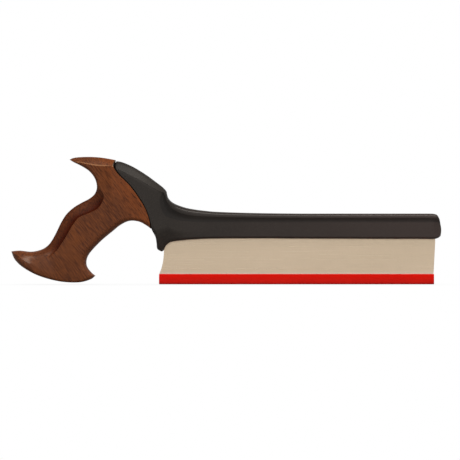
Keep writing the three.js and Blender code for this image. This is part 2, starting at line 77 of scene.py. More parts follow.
front_edge = [(-113.2, 7.4, -119.7, 8.3, 3.0, 1, 0), (-116.9, 10.4, -122.2, 10.4, 4.5, 1, 0),
    (-120.6, 15.8, -126.2, 15.6, 4.5, 1, 0), (-120.6, 22.0, -126.0, 23.4, 4.5, 1, 0),
    (-117.3, 28.0, -121.9, 31.3, 4.5, 1, 0), (-108.3, 37.5, -112.2, 41.5, 4.5, 1, 0),
    (-98.3, 45.9, -101.6, 50.2, 5.2, 1, 0), (-91.4, 51.4, -93.8, 55.9, 6.2, 1, 0),
    (-83.7, 54.8, -84.1, 58.6, 7.6, 1, 0), (-75.2, 54.1, -74.2, 57.4, 8.2, 1, 0),
    (-68.6, 50.7, -68.2, 54.2, 8.2, 1, 0), (-65.0, 48.0, -66.1, 52.2, 8.0, 0.9, 0)]


def along_spline(knots, at):
    """The values at a place on a smooth curve through the knots, counted in knots from the first."""
    first = min(int(at), len(knots) - 2)
    share = at - first
    before, here = knots[max(first - 1, 0)], knots[first]
    there, after = knots[first + 1], knots[min(first + 2, len(knots) - 1)]
    values = []
    for a, b, c, d in zip(before, here, there, after):
        leaving, arriving = (c - a) / 2, (d - b) / 2
        values.append(b + leaving * share + (3 * (c - b) - 2 * leaving - arriving) * share**2
                      + (2 * (b - c) + leaving + arriving) * share**3)
    return values


def mix(a, b, share):
    return a + (b - a) * share


def ramp(value, low, high):
    """0 below low, 1 above high, and a smooth rise between them."""
    share = min(max((value - low) / (high - low), 0), 1)
    return share * share * (3 - 2 * share)


def shape_lattice(name, columns, rows, place, **masks):
    """A grid of columns by rows points, each put at place(column, row) in millimetres, and closed.

    Each mask is a function of column and row too. It is kept on the piece for its material to read.
    """
    bpy.ops.object.select_all(action="DESELECT")
    bpy.ops.mesh.primitive_grid_add(x_subdivisions=columns - 1, y_subdivisions=rows - 1, size=1)
    piece = bpy.context.object
    piece.name = piece.data.name = name
    for number, vertex in enumerate(piece.data.vertices):
        vertex.co = Vector(place(number % columns, number // columns)) * MM
    for mask, value in masks.items():
        layer = piece.data.attributes.new(mask, "FLOAT", "POINT")
        for number in range(columns * rows):
            layer.data[number].value = value(number % columns, number // columns)
    bpy.ops.object.mode_set(mode="EDIT")
    bpy.ops.mesh.select_all(action="SELECT")
    bpy.ops.mesh.remove_doubles(threshold=0.00001)
    bpy.ops.mesh.select_all(action="DESELECT")
    bpy.ops.mesh.select_non_manifold(extend=False)
    bpy.ops.mesh.fill_holes(sides=0)
    bpy.ops.mesh.select_all(action="SELECT")
    bpy.ops.mesh.normals_make_consistent(inside=False)
    bpy.ops.object.mode_set(mode="OBJECT")
    return piece


def cut_away(piece, cutter):
    """Cuts the cutter's shape out of the piece, and clears the cutter away."""
    modifier = piece.modifiers.new("cut", "BOOLEAN")
    modifier.object = cutter
    modifier.operation = "DIFFERENCE"
    modifier.solver = "EXACT"
    bpy.context.view_layer.objects.active = piece
    bpy.ops.object.modifier_apply(modifier="cut")
    bpy.data.objects.remove(cutter, do_unlink=True)


def smooth_by_angle(piece, degrees):
    bpy.ops.object.select_all(action="DESELECT")
    piece.select_set(True)
    bpy.context.view_layer.objects.active = piece
    bpy.ops.object.shade_smooth_by_angle(angle=math.radians(degrees))


steps_per_knot = 10
edge_steps = 20
handle_loop = []
for edge in (joint_edge, top_edge, rear_edge, foot_edge, front_edge):
    for step in range((len(edge) - 1) * steps_per_knot):
        handle_loop.append(along_spline(edge, step / steps_per_knot))

# Where the joint, the top facet and the rear edge end round the outline, counted in knots.
joint_end = len(joint_edge) - 1
upper_tip = joint_end + len(top_edge) - 1
lower_tip = upper_tip + len(rear_edge) - 1

# How far across the hollow its rim ends and its wall starts, and what each part adds to its height.
hollow_rim, hollow_wall = 0.12, 0.84
rim_height, slope_height, wall_height = 0.24, 0.40, 0.36


def hollow_up(across):
    """Height of the hollow: a rounded rim, a slope, and a wall that rises to the cheek's arris."""
    rim = math.sqrt(1 - (1 - min(across / hollow_rim, 1)) ** 2)
    slope = min(across, hollow_wall) / hollow_wall
    wall = max(0, (across - hollow_wall) / (1 - hollow_wall)) ** 1.2
    return rim_height * rim + slope_height * slope + wall_height * wall


def handle_row(row):
    """Which side of the handle a row is on, and how far it is from the outline towards the cheek."""
    if row <= edge_steps:
        return -1, 1 - row / edge_steps
    return 1, (row - edge_steps - 1) / edge_steps


def handle_point(column, row):
    """Rows run from the front cheek's edge to the outline, over the land, and to the rear cheek."""
    x, z, cheek_x, cheek_z, land, round_share, hollow = handle_loop[column % len(handle_loop)]
    side, share = handle_row(row)
    round_share, hollow = min(round_share, 1), min(max(hollow, 0), 1)
    across = mix(share, 1 - math.cos(share * math.pi / 2), round_share)
    up = mix(share, (1 - (1 - across) ** 2.6) ** 0.6, round_share)
    # In the hollow the rows crowd at its rim and at its wall.
    across = mix(across, (across + ramp(share, 0, 1)) / 2, hollow)
    up = mix(up, hollow_up(across), hollow)
    return (mix(x, cheek_x, across), side * mix(land, cheek_half, up), mix(z, cheek_z, across))


def hollow_polish(column, row):
    """Painted shade in the hollow: darkest under the wall at its arris and at its outer rim."""
    hollow = min(max(handle_loop[column % len(handle_loop)][6], 0), 1)
    share = handle_row(row)[1]
    rim = 0.9 * (1 - ramp(share, 0.05, 0.3))
    return 0 if share == 1 else hollow * max(0.5 + 0.5 * ramp(share, 0.45, 0.8), rim)


def bare_arris(column, row):
    """A painted highlight along the top facet's arris and at the corner beside the back, where the light
    catches the edge.
    """
    at = (column % len(handle_loop)) / steps_per_knot
    share = handle_row(row)[1]
    arris = ramp(at, joint_end + 0.3, joint_end + 1.5) * ramp(share, 0.8, 0.95)
    arris *= 1 - ramp(at, upper_tip - 1.5, upper_tip + 0.2)
    corner = ramp(at, joint_end - 1.1, joint_end - 0.4) * (1 - ramp(at, joint_end - 0.1, joint_end + 0.3))
    return 0 if share == 1 else max(0.7 * arris, corner)


def joint_grime(column, row):
    """Painted shade in the groove where the wood meets the back."""
    at = (column % len(handle_loop)) / steps_per_knot
    return (1 - ramp(at, joint_end - 0.1, joint_end + 0.3)) * (1 - ramp(handle_row(row)[1], 0.7, 1))


def hand_polish(column, row):
    """The palm polishes the lower horn most. The facet at the top is the dullest."""
    at = (column % len(handle_loop)) / steps_per_knot
    lower_horn = ramp(at, lower_tip - 4, lower_tip - 2.5) * (1 - ramp(at, lower_tip + 0.5, lower_tip + 2))
    top_facet = ramp(at, joint_end - 0.2, joint_end + 0.2) * (1 - ramp(at, upper_tip, upper_tip + 1))
    return 0.4 + 0.6 * lower_horn - 0.4 * top_facet


handle = shape_lattice("saw_handle", len(handle_loop) + 1, 2 * edge_steps + 2, handle_point,
                       hollow_polish=hollow_polish, bare_arris=bare_arris,
                       joint_grime=joint_grime, hand_polish=hand_polish)

# The bolt's axis falls from the web towards the toe. Its hole and its counterbore start behind the web.
web_point = Vector((-111.6, 0, 84.2)) * MM
bolt_tilt = math.radians(8)
bolt_axis = Vector((math.cos(bolt_tilt), 0, -math.sin(bolt_tilt)))
bolt_hole_radius, counterbore_radius = 3.1, 5.1
counterbore_depth = 9.5

# A mortise in the joint's face takes the key that stops the handle from turning. Its sides lie along
# and across the joint.
key_centre = Vector((-70.6, 0, 67.3)) * MM
key_tilt = math.radians(-31)
key_size = (15, 9, 10)
key_clearance = 0.3


def rod_cutter(radius, start, end):
    """A cylinder along the bolt's axis, from start to end in millimetres inwards from the web."""
    bpy.ops.object.select_all(action="DESELECT")
    bpy.ops.mesh.primitive_cylinder_add(
        vertices=64, radius=radius * MM, depth=(end - start) * MM,
        location=web_point + bolt_axis * (start + end) / 2 * MM,
        rotation=(0, math.pi / 2 + bolt_tilt, 0))
    return bpy.context.object


def block_cutter(centre, size, tilt=0.0):
    """A block of the given size in millimetres, turned about the saw's thickness."""
    bpy.ops.object.select_all(action="DESELECT")
    bpy.ops.mesh.primitive_cube_add(size=1, location=centre, rotation=(0, tilt, 0))
    block = bpy.context.object
    block.scale = Vector(size) * MM
    return block


cut_away(handle, rod_cutter(bolt_hole_radius, -1, 52))
cut_away(handle, rod_cutter(counterbore_radius, -8, counterbore_depth))
cut_away(handle, block_cutter(key_centre, [side + 2 * key_clearance for side in key_size], key_tilt))
smooth_by_angle(handle, 24)


def new_material(name, colour, roughness, metallic=0.0):
    """A material with its shader's plain values set. Returns it with its nodes and links."""
    material = bpy.data.materials.new(name)
    material.use_nodes = True
    shader = material.node_tree.nodes["Principled BSDF"]
    shader.inputs["Base Color"].default_value = (*colour, 1)
    shader.inputs["Roughness"].default_value = roughness
    shader.inputs["Metallic"].default_value = metallic
    return material, material.node_tree.nodes, material.node_tree.links, shader


def add_node(nodes, kind, **values):
    node = nodes.new(kind)
    for key, value in values.items():
        if key in node.inputs:
            node.inputs[key].default_value = value
        else:
            setattr(node, key, value)
    return node


def blend_colours(nodes, links, share, first, second):
    """A colour that goes from first to second. Each is an output to link or a plain colour."""
    node = add_node(nodes, "ShaderNodeMix", data_type="RGBA")
    links.new(share, node.inputs[0])
    for socket, value in ((node.inputs[6], first), (node.inputs[7], second)):
        if isinstance(value, tuple):
            socket.default_value = (*value, 1)
        else:
            links.new(value, socket)
    return node.outputs[2]


def spread(nodes, links, value, low, high, out_low=0.0, out_high=1.0):
    """Stretches the part of a value between low and high over a new range."""
    node = add_node(nodes, "ShaderNodeMapRange")
    node.inputs[1].default_value, node.inputs[2].default_value = low, high
    node.inputs[3].default_value, node.inputs[4].default_value = out_low, out_high
    links.new(value, node.inputs[0])
    return node.outputs[0]


def make_streaks_group():
    """Long marks that lie along X: a noise stretched by its two scales, per metre."""
    group = bpy.data.node_groups.new("streaks", "ShaderNodeTree")
    for name, value in (("Along", 100), ("Across", 1000), ("Detail", 3), ("Waver", 0.4)):
        socket = group.interface.new_socket(name, in_out="INPUT", socket_type="NodeSocketFloat")
        socket.default_value = value
    group.interface.new_socket("Vector", in_out="INPUT", socket_type="NodeSocketVector")
    group.interface.new_socket("Mark", in_out="OUTPUT", socket_type="NodeSocketFloat")
    nodes, links = group.nodes, group.links
    inside, outside = nodes.new("NodeGroupInput"), nodes.new("NodeGroupOutput")
    scales = nodes.new("ShaderNodeCombineXYZ")
    stretch = add_node(nodes, "ShaderNodeVectorMath", operation="MULTIPLY")
    noise = add_node(nodes, "ShaderNodeTexNoise", Scale=1.0)
    links.new(inside.outputs["Along"], scales.inputs[0])
    links.new(inside.outputs["Across"], scales.inputs[1])
    links.new(inside.outputs["Across"], scales.inputs[2])
    links.new(inside.outputs["Vector"], stretch.inputs[0])
    links.new(scales.outputs[0], stretch.inputs[1])
    links.new(stretch.outputs[0], noise.inputs["Vector"])
    links.new(inside.outputs["Detail"], noise.inputs["Detail"])
    links.new(inside.outputs["Waver"], noise.inputs["Distortion"])
    links.new(noise.outputs["Fac"], outside.inputs["Mark"])
    return group


def make_surface_group():
    """Small uneven spots in a surface: a roughness that varies, and the height of its texture."""
    group = bpy.data.node_groups.new("uneven_surface", "ShaderNodeTree")
    for name, value in (("Fine", 3000), ("Broad", 60), ("Roughness", 0.4), ("Variation", 0.1)):
        socket = group.interface.new_socket(name, in_out="INPUT", socket_type="NodeSocketFloat")
        socket.default_value = value
    group.interface.new_socket("Roughness", in_out="OUTPUT", socket_type="NodeSocketFloat")
    group.interface.new_socket("Height", in_out="OUTPUT", socket_type="NodeSocketFloat")
    nodes, links = group.nodes, group.links
    inside, outside = nodes.new("NodeGroupInput"), nodes.new("NodeGroupOutput")
    where = nodes.new("ShaderNodeTexCoord")
    broad = add_node(nodes, "ShaderNodeTexNoise", Detail=4.0)
    fine = add_node(nodes, "ShaderNodeTexNoise", Detail=2.0)
    centred = add_node(nodes, "ShaderNodeMath", operation="SUBTRACT")
    centred.inputs[1].default_value = 0.5
    swing = add_node(nodes, "ShaderNodeMath", operation="MULTIPLY_ADD")
    for noise, scale in ((broad, "Broad"), (fine, "Fine")):
        links.new(where.outputs["Object"], noise.inputs["Vector"])
        links.new(inside.outputs[scale], noise.inputs["Scale"])
    links.new(broad.outputs["Fac"], centred.inputs[0])
    links.new(centred.outputs[0], swing.inputs[0])
    links.new(inside.outputs["Variation"], swing.inputs[1])
    links.new(inside.outputs["Roughness"], swing.inputs[2])
    links.new(swing.outputs[0], outside.inputs["Roughness"])
    links.new(fine.outputs["Fac"], outside.inputs["Height"])
    return group


streaks_group = make_streaks_group()
surface_group = make_surface_group()


def add_group(nodes, group, **values):
    node = add_node(nodes, "ShaderNodeGroup", node_tree=group)
    for key, value in values.items():
        node.inputs[key].default_value = value
    return node


def add_bump(nodes, links, shader, height, strength, distance):
    bump = add_node(nodes, "ShaderNodeBump", Strength=strength, Distance=distance)
    links.new(height, bump.inputs["Height"])
    links.new(bump.outputs["Normal"], shader.inputs["Normal"])
    return bump


oiled_wood, nodes, links, shader = new_material("oiled_hardwood", (0.13, 0.035, 0.010), 0.36)
shader.inputs["Coat Weight"].default_value = 0.03
shader.inputs["Specular Tint"].default_value = (1, 0.84, 0.72, 1)
shader.inputs["Coat Roughness"].default_value = 0.2
where = nodes.new("ShaderNodeTexCoord")
grain_turn = add_node(nodes, "ShaderNodeMapping", Rotation=(0, math.radians(-52), 0))
links.new(where.outputs["Object"], grain_turn.inputs["Vector"])
grain = {}
for name, along, across, detail, waver in (("figure", 16, 45, 2, 1.0), ("ripple", 60, 60, 2, 0.9),
                                           ("bands", 30, 330, 3, 0.8), ("fibres", 120, 1300, 4, 0.5),
                                           ("flecks", 190, 1100, 2, 0.3)):
    marks = add_group(nodes, streaks_group, Along=along, Across=across, Detail=detail, Waver=waver)
    links.new(grain_turn.outputs[0], marks.inputs["Vector"])
    grain[name] = marks.outputs["Mark"]
figure = spread(nodes, links, grain["figure"], 0.35, 0.65)
ripple = spread(nodes, links, grain["ripple"], 0.38, 0.62)
bands = spread(nodes, links, grain["bands"], 0.36, 0.66, 0.35, 1.0)
fibres = spread(nodes, links, grain["fibres"], 0.35, 0.68)
flecks = spread(nodes, links, grain["flecks"], 0.56, 0.68)
heart = blend_colours(nodes, links, figure, (0.088, 0.030, 0.017), (0.170, 0.050, 0.014))
rippled = blend_colours(nodes, links, ripple, (0.078, 0.025, 0.014), heart)
banded = blend_colours(nodes, links, bands, (0.060, 0.018, 0.009), rippled)
fibred = blend_colours(nodes, links, fibres, banded, (0.215, 0.066, 0.022))
# The wood nearest the joint is more orange than the rest, with darker flecks.
apart = nodes.new("ShaderNodeSeparateXYZ")
links.new(where.outputs["Object"], apart.inputs[0])
joint_side = add_node(nodes, "ShaderNodeMath", operation="MULTIPLY_ADD")
joint_side.inputs[1].default_value = 0.58
links.new(apart.outputs["Z"], joint_side.inputs[0])
links.new(apart.outputs["X"], joint_side.inputs[2])
joint_share = spread(nodes, links, joint_side.outputs[0], -0.055, -0.028, 0.0, 1.0)
orange_share = add_node(nodes, "ShaderNodeMath", operation="MULTIPLY")
links.new(joint_share, orange_share.inputs[0])
links.new(bands, orange_share.inputs[1])
warmed = blend_colours(nodes, links, orange_share.outputs[0], fibred, (0.27, 0.068, 0.014))
fleck_share = add_node(nodes, "ShaderNodeMath", operation="MULTIPLY")
links.new(flecks, fleck_share.inputs[0])
links.new(spread(nodes, links, joint_side.outputs[0], -0.085, -0.035, 0.04, 0.75), fleck_share.inputs[1])
flecked = blend_colours(nodes, links, fleck_share.outputs[0], warmed, (0.030, 0.009, 0.005))
polish = add_node(nodes, "ShaderNodeAttribute", attribute_name="hollow_polish")
bare = add_node(nodes, "ShaderNodeAttribute", attribute_name="bare_arris")
grime = add_node(nodes, "ShaderNodeAttribute", attribute_name="joint_grime")
palm = add_node(nodes, "ShaderNodeAttribute", attribute_name="hand_polish")
# Painted shade: the hollow's mask darkens and reddens the wood there.
reddened = add_node(nodes, "ShaderNodeMix", data_type="RGBA", blend_type="MULTIPLY")
links.new(polish.outputs["Fac"], reddened.inputs[0])
links.new(flecked, reddened.inputs[6])
reddened.inputs[7].default_value = (0.42, 0.19, 0.12, 1)
# Painted highlight on the facet's arris and on the corner by the back.
rubbed = blend_colours(nodes, links, bare.outputs["Fac"], reddened.outputs[2], (0.42, 0.20, 0.09))
# Painted shade darkens the wood in the joint's groove.
links.new(blend_colours(nodes, links, grime.outputs["Fac"], rubbed, (0.010, 0.005, 0.003)),
          shader.inputs["Base Color"])
satin = add_group(nodes, surface_group, Fine=900, Broad=90, Variation=0.20)
links.new(spread(nodes, links, palm.outputs["Fac"], 0.0, 1.0, 0.56, 0.30), satin.inputs["Roughness"])
links.new(satin.outputs["Roughness"], shader.inputs["Roughness"])
links.new(spread(nodes, links, palm.outputs["Fac"], 0.0, 1.0, 0.10, 0.30),
          shader.inputs["Specular IOR Level"])
wood_height = add_node(nodes, "ShaderNodeMath", operation="MULTIPLY_ADD")
wood_height.inputs[1].default_value = -1.0
links.new(fleck_share.outputs[0], wood_height.inputs[0])
links.new(fibres, wood_height.inputs[2])
add_bump(nodes, links, shader, wood_height.outputs[0], 0.08, 0.00006)


def finish_piece(piece, material, nodes_replaced, body="saw"):
    """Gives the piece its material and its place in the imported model."""
    piece.data.materials.clear()
    piece.data.materials.append(material)
    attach(piece, body)
    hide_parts(*nodes_replaced)


finish_piece(handle, oiled_wood, ["handle"])


# Back. A dense dark moulding cast round the upper edge of the plate to hold it straight: a beam with
# a bead along its top, which swells into a shoulder as thick as the handle. The shoulder is hollowed
# to seat the handle, and a small lug reaches down behind the heel of the plate.
shoulder_half = 11.2
beam_half = 5.0
shoulder_x = -64
swelling_length = 27
bead_proud = 1.0

# A knot holds x and z on the underside, on the line where the side ends, and on the top; half the
# thickness at the underside; how much it follows the joint's curve; and how much of the strip above
# the line is a plain facet. The line is the facet's arris by the handle, and then the bead's lower edge.
back_knots = [
    (-56.2, 28.4, -95.5, 99.3, -94.6, 106.3, 4.4, 1.00, 1.0),
    (-54.8, 28.7, -90.9, 98.0, -89.9, 105.5, 4.6, 0.85, 1.0),
    (-54.1, 29.6, -84.9, 95.1, -82.0, 102.2, 4.8, 0.65, 1.0),
    (-53.6, 30.7, -77.6, 91.3, -74.4, 97.9, 5.0, 0.45, 1.0),
    (-53.0, 31.9, -70.4, 87.6, -66.8, 92.9, 5.2, 0.30, 1.0),
    (-52.3, 33.2, -64.6, 84.0, -60.0, 87.8, 5.5, 0.20, 1.0),
    (-51.3, 34.4, -59.0, 80.9, -55.2, 84.1, 5.8, 0.12, 1.0),
    (-50.0, 35.5, -54.0, 79.3, -52.0, 80.7, 6.0, 0.06, 0.9),
    (-48.6, 36.3, -52.6, 76.2, -51.1, 77.7, 6.2, 0.02, 0.4),
    (-47.0, 36.8, -51.5, 72.8, -50.1, 74.6, 6.4, 0.00, 0.1),
    (-45.2, 37.2, -49.0, 69.0, -47.3, 71.4, 6.5, 0.00, 0.0),
    (-42.6, 37.6, -45.2, 64.8, -43.2, 69.0, 6.5, 0.00, 0.0),
    (-37.0, 38.2, -37.6, 61.2, -35.6, 66.3, 6.3, 0.00, 0.0),
    (-29.5, 38.8, -28.8, 59.6, -27.1, 64.6, 5.8, 0.00, 0.0),
    (-20.0, 39.3, -19.4, 58.9, -18.4, 63.5, 5.3, 0.00, 0.0),
    (-10.0, 39.5, -10.1, 58.5, -9.8, 62.7, 5.1, 0.00, 0.0)]
for x, foot, line, top in ((8, 39.7, 58.1, 62.0), (34, 39.7, 57.8, 61.4), (66, 39.5, 57.6, 61.1),
                           (102, 39.4, 57.6, 61.1), (138, 39.3, 57.6, 61.1), (164, 39.3, 57.6, 61.1),
                           (174, 39.2, 57.6, 61.1)):
    back_knots.append((x, foot, x, line, x, top, beam_half, 0.00, 0.0))
back_knots += [(179.0, 39.2, 179.5, 57.4, 179.0, 60.9, beam_half, 0.00, 0.0),
               (182.3, 39.8, 182.7, 56.9, 181.9, 60.0, beam_half, 0.00, 0.0),
               (184.8, 41.5, 184.6, 52.6, 183.8, 57.2, beam_half, 0.00, 0.0)]

# The rear edge below the line: four spans of lug, then the curve that seats the handle.
rear_knots = [(-56.2, 28.4), (-59.6, 30.6), (-60.2, 35.4), (-61.2, 41.0), (-64.2, 47.2), (-65.7, 54.6),
              (-69.2, 65.0), (-75.7, 76.0), (-83.3, 86.2), (-91.3, 94.0), (-95.5, 99.3)]
lug_share = 4 / (len(rear_knots) - 1)

# The cove under the bead: its lower edge starts at the shoulder's corner, runs down round the swelling
# and along the beam. Its upper edge is the bead's.
cove_low_edge = [(-53.6, 80.2), (-56.0, 77.6), (-57.4, 73.6), (-57.3, 68.5), (-55.4, 62.8), (-51.6, 58.1),
                 (-43.5, 55.4), (-31.5, 53.9), (-20.5, 53.4), (-4, 53.3), (30, 53.3), (80, 53.3),
                 (130, 53.3), (186, 53.3)]
cove_high_edge = [knot[2:4] for knot in back_knots[7:]]
cove_rear_x = -60


def sample_edge(knots, spacing):
    """Points along a smooth curve, with the direction of the curve at each."""
    samples = []
    for first in range(len(knots) - 1):
        count = max(2, round(math.dist(knots[first], knots[first + 1]) / spacing))
        samples += [along_spline(knots, first + step / count) for step in range(count)]
    samples.append(list(knots[-1]))
    return [(x, z, ahead[0] - x, ahead[1] - z) for (x, z), ahead in zip(samples, samples[1:])]


def distance_above(samples, x, z):
    """How far a point is from a curve, negative on its lower side."""
    near_x, near_z, run_x, run_z = min(samples, key=lambda s: (s[0] - x) ** 2 + (s[1] - z) ** 2)
    run = math.hypot(run_x, run_z)
    aside = ((z - near_z) * run_x - (x - near_x) * run_z) / run
    return math.copysign(math.hypot(x - near_x, z - near_z), aside) if abs(aside) > 0.3 else aside


low_samples = sample_edge(cove_low_edge, 1.0)
high_samples = sample_edge(cove_high_edge, 1.0)


def swelling_half(x):
    """The side swells smoothly from the beam to the shoulder."""
    past = max(0, x - shoulder_x)
    return beam_half + (shoulder_half - beam_half) * math.exp(-((past / swelling_length) ** 2))


def cove_share(x, z):
    """How far a place is across the cove, from 0 at its lower edge to 1 at the bead."""
    if x < cove_rear_x:
        return 0
    reach = 14
    above_low = distance_above([s for s in low_samples if abs(s[0] - x) < reach], x, z)
    below_high = -distance_above([s for s in high_samples if abs(s[0] - x) < reach], x, z)
    return 0 if above_low <= 0 else above_low / (above_low + max(0, below_high) + 0.001)


def bead_edge_half(x):
    """The bead stands a little proud of the side all along, out to the shoulder."""
    return min(shoulder_half, swelling_half(x) + bead_proud)


def side_half(x, z):
    """Half the thickness at a place on the side: the swelling, hollowed out under the bead."""
    share = cove_share(x, z)
    rise = (bead_edge_half(x) - swelling_half(x)) * share**2.2
    return swelling_half(x) + rise - 0.05 * (swelling_half(x) - 2) * math.sin(math.pi * share) ** 2


# Places up the side and up the strip above it, closer together where the section is rounded. Stations
# run along the back, counted in knots, and are closest beside the wood.
side_steps = [0, 0.01, 0.02, 0.035, 0.05, 0.075, 0.1] + [0.12 + 0.88 * i / 44 for i in range(45)]
strip_steps = [0.02] + [i / 20 for i in range(1, 17)] + [0.85, 0.89, 0.92, 0.945, 0.965, 0.98, 0.99, 0.997]
stations = [0, 0, 0.04, 0.08, 0.14, 0.22, 0.32, 0.45, 0.6, 0.8]
stations += [1 + i / 8 for i in range(8 * (len(back_knots) - 2) + 1)]
stations.append(stations[-1])


def strip_half(up, line_half, facet):
    """Half the thickness above the line: a bead's crown, or a facet that slopes to a flat top."""
    bead = line_half * math.sqrt(max(0, 1 - up**3.6))
    plain = line_half * (1 - 0.52 * up) * math.sqrt(max(0, 1 - up**12))
    return mix(bead, plain, facet)


nose_arris_x, nose_arris_bow, nose_middle_z = 178.6, 0.025, 48.5
nose_slope = 0.3


def nose_half(half, x, z):
    """Thins the toe of the back from a curved arris to its end."""
    past_arris = x - nose_arris_x - nose_arris_bow * (z - nose_middle_z) ** 2
    return max(0.6, half - nose_slope * past_arris) if past_arris > 0 else half


def back_side(at):
    """One side of the section at a place along the back, from the underside to the top."""
    foot_x, foot_z, line_x, line_z, top_x, top_z, foot_half, follow, facet = along_spline(back_knots, at)
    facet = min(max(facet, 0), 1)
    points = [(foot_x, 0, foot_z)]
    rounding = min(1.8, foot_half / 2)
    nose_bulge = max(0, at - (len(back_knots) - 3)) * 0.4
    line_half = bead_edge_half(line_x)
    # The arris beside the wood is rounded over.
    joint_break = 1.1 * max(0, 1 - at / 0.2) ** 2
    for up in side_steps:
        rear_x, rear_z = along_spline(rear_knots, up * (len(rear_knots) - 1))
        chord_x = mix(rear_knots[0][0], rear_knots[-1][0], up)
        chord_z = mix(rear_knots[0][1], rear_knots[-1][1], up)
        x = mix(foot_x, line_x, up) + (rear_x - chord_x) * follow + nose_bulge * math.sin(math.pi * up)
        z = mix(foot_z, line_z, up) + (rear_z - chord_z) * follow
        half = mix(foot_half, side_half(x, z), ramp(up, 0, 0.35)) - rounding * max(0, 1 - up / 0.1) ** 2
        half = mix(half, line_half - 0.22 * facet, ramp(up, 0.95, 1))
        lug = ramp(lug_share - up, -0.04, 0.1) * max(0, 1 - at / 1.6) ** 2
        points.append((x, nose_half(half * (1 - 0.6 * lug) - joint_break, x, z), z))
    for up in strip_steps:
        x = mix(line_x, top_x, up) - max(0, 1 - at / 0.6) * 1.2 * math.sin(math.pi * up)
        z = mix(line_z, top_z, up)
        tip = 1 - 0.12 * max(0, 1 - at / 0.3) ** 2
        points.append((x, nose_half(strip_half(up, line_half, facet) * tip, x, z), z))
    points.append((top_x, 0, top_z))
    return points


back_sections = [back_side(at) for at in stations]
side_count = len(back_sections[0])
loop_count = 2 * side_count - 2


def side_row(row):
    """The number of a row counted up its own side. Rows go up one side and down the other."""
    row %= loop_count
    return min(row, loop_count - row)


def back_point(column, row):
    """The first and last sections fold onto the middle, which closes the ends."""
    x, half, z = back_sections[column][side_row(row)]
    if column in (0, len(stations) - 1):
        half = 0
    return (x, half if row % loop_count < side_count else -half, z)


def cove_skin(column, row):
    """Painted shade in the cove under the bead, most of all round the shoulder."""
    x, half, z = back_sections[column][side_row(row)]
    share = cove_share(x, z) if side_row(row) <= len(side_steps) else 0
    band = ramp(share, 0, 0.12) * (1 - ramp(share, 0.93, 1))
    return band * mix(1, mix(0.75, 0.25, ramp(share, 0.4, 0.9)), ramp(x, -46, -22))


def bead_polish(column, row):
    """The bead is rubbed smooth along the beam."""
    line_row = len(side_steps)
    return ramp(side_row(row), line_row - 2, line_row + 1) * ramp(stations[column], 7, 9)


def seat_shadow(column, row):
    """Painted shadow in the groove beside the wood."""
    up = side_row(row) / len(side_steps)
    return (1 - ramp(stations[column], 0.2, 0.33)) * ramp(up, lug_share - 0.02, lug_share + 0.02)


back = shape_lattice("moulded_back", len(stations), loop_count + 1, back_point,
                     cove_skin=cove_skin, bead_polish=bead_polish, seat_shadow=seat_shadow)
plate_slot_centre, plate_slot_size = Vector((63.4, 0, 35.3)) * MM, (235, 0.56, 40)
insert_hole_radius, insert_hole_start, insert_hole_end = 4.1, 20, 51.3
cut_away(back, block_cutter(plate_slot_centre, plate_slot_size))
cut_away(back, rod_cutter(insert_hole_radius, insert_hole_start, insert_hole_end))
smooth_by_angle(back, 28)

composite, nodes, links, shader = new_material("dark_composite", (0.030, 0.026, 0.023), 0.5)
shader.inputs["Specular IOR Level"].default_value = 0.32
where = nodes.new("ShaderNodeTexCoord")
moulded = add_group(nodes, surface_group, Fine=2600, Broad=45, Variation=0.16)
speck = add_node(nodes, "ShaderNodeTexNoise", Scale=1900.0, Detail=2.0)
links.new(where.outputs["Object"], speck.inputs["Vector"])
cloud = add_node(nodes, "ShaderNodeTexNoise", Scale=28.0, Detail=3.0)
links.new(where.outputs["Object"], cloud.inputs["Vector"])
specks = spread(nodes, links, speck.outputs["Fac"], 0.5, 0.75, 0.0, 0.6)
clouds = spread(nodes, links, cloud.outputs["Fac"], 0.35, 0.65)
ground = blend_colours(nodes, links, clouds, (0.019, 0.0155, 0.013), (0.026, 0.021, 0.0175))
# Painted light: the beam is painted paler towards the toe, where the light falls brighter.
apart = nodes.new("ShaderNodeSeparateXYZ")
links.new(where.outputs["Object"], apart.inputs[0])
pale_share = spread(nodes, links, apart.outputs["X"], -0.06, 0.16)
paled = blend_colours(nodes, links, pale_share, ground, (0.045, 0.0305, 0.0275))
specked = blend_colours(nodes, links, specks, paled, (0.058, 0.048, 0.041))
skin = add_node(nodes, "ShaderNodeAttribute", attribute_name="cove_skin")
groove = add_node(nodes, "ShaderNodeAttribute", attribute_name="seat_shadow")
rub = add_node(nodes, "ShaderNodeAttribute", attribute_name="bead_polish")
# Painted shade darkens the cove.
skinned = blend_colours(nodes, links, spread(nodes, links, skin.outputs["Fac"], 0.0, 1.0, 0.0, 0.75),
                        specked, (0.008, 0.006, 0.005))
# Painted shadow in the groove beside the handle.
links.new(blend_colours(nodes, links, groove.outputs["Fac"], skinned, (0.002, 0.0015, 0.001)),
          shader.inputs["Base Color"])
links.new(spread(nodes, links, rub.outputs["Fac"], 0.0, 1.0, 0.52, 0.33), moulded.inputs["Roughness"])
links.new(moulded.outputs["Roughness"], shader.inputs["Roughness"])
add_bump(nodes, links, shader, moulded.outputs["Height"], 0.25, 0.0001)
finish_piece(back, composite, ["spine"])


